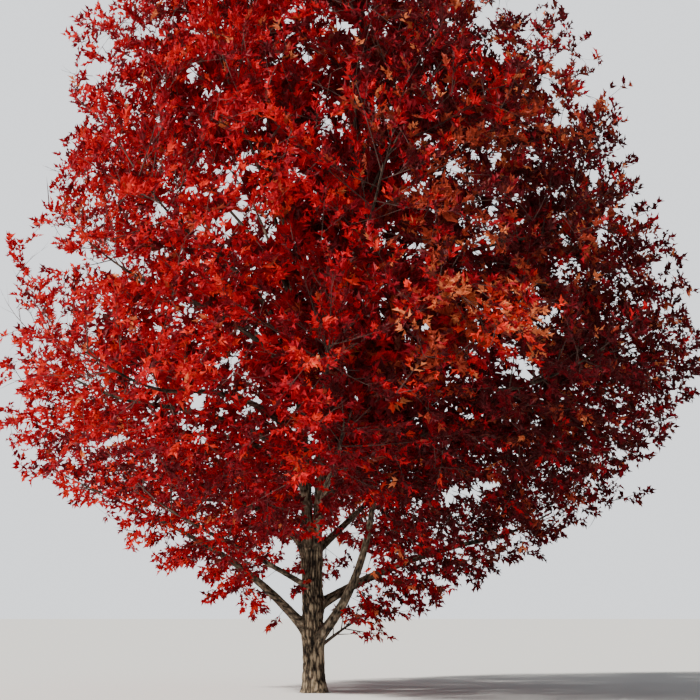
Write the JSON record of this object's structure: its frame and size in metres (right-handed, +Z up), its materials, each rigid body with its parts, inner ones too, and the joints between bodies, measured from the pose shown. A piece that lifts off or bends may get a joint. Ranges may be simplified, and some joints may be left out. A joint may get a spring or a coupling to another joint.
{
  "type": "red maple tree",
  "caption": "Whole broad-leaved tree in red autumn leaf, rooted in the ground: a low forking trunk, spreading boughs and a full rounded head of foliage.",
  "frame": {"origin": "on the ground, at the middle of the flat cut under the trunk", "axes": "+Z up, -Y towards the side that the picture was taken from, +X to the right in the picture, where the tree reaches a little further"},
  "size_m": [8.7058, 8.7528, 9.8607],
  "materials": {
    "bark": "matte",
    "foliage": "matte"
  },
  "bodies": {
    "root": {"trunk": "bark", "leader_left": "bark", "leader_right": "bark", "bough_low_left": "bark", "bough_low_right": "bark", "bough_back_right": "bark", "bough_thin_left": "bark", "bough_mid_left": "bark", "bough_back": "bark", "bough_front": "bark", "bough_middle_1": "bark", "bough_middle_2": "bark", "bough_middle_3": "bark", "bough_middle_4": "bark", "bough_middle_5": "bark", "bough_middle_6": "bark", "bough_middle_7": "bark", "bough_middle_8": "bark", "bough_upper_1": "bark", "bough_upper_2": "bark", "bough_upper_3": "bark", "bough_upper_4": "bark", "bough_upper_5": "bark", "bough_upper_6": "bark", "bough_upper_7": "bark", "foliage_low_left": "foliage", "foliage_low_right": "foliage", "foliage_back_right": "foliage", "foliage_thin_left": "foliage", "foliage_mid_left": "foliage", "foliage_back": "foliage", "foliage_front": "foliage", "foliage_middle_1": "foliage", "foliage_middle_2": "foliage", "foliage_middle_3": "foliage", "foliage_middle_4": "foliage", "foliage_middle_5": "foliage", "foliage_middle_6": "foliage", "foliage_middle_7": "foliage", "foliage_middle_8": "foliage", "foliage_upper_1": "foliage", "foliage_upper_2": "foliage", "foliage_upper_3": "foliage", "foliage_upper_4": "foliage", "foliage_upper_5": "foliage", "foliage_upper_6": "foliage", "foliage_upper_7": "foliage", "foliage_crest_left": "foliage", "foliage_crest_right": "foliage", "foliage_top_1": "foliage", "foliage_top_2": "foliage", "foliage_top_3": "foliage", "foliage_top_4": "foliage", "foliage_top_5": "foliage", "foliage_top_6": "foliage", "foliage_crest_1": "foliage", "foliage_crest_2": "foliage", "foliage_crest_3": "foliage", "foliage_inner_1": "foliage", "foliage_shoot": "foliage"}
  },
  "joints": []
}
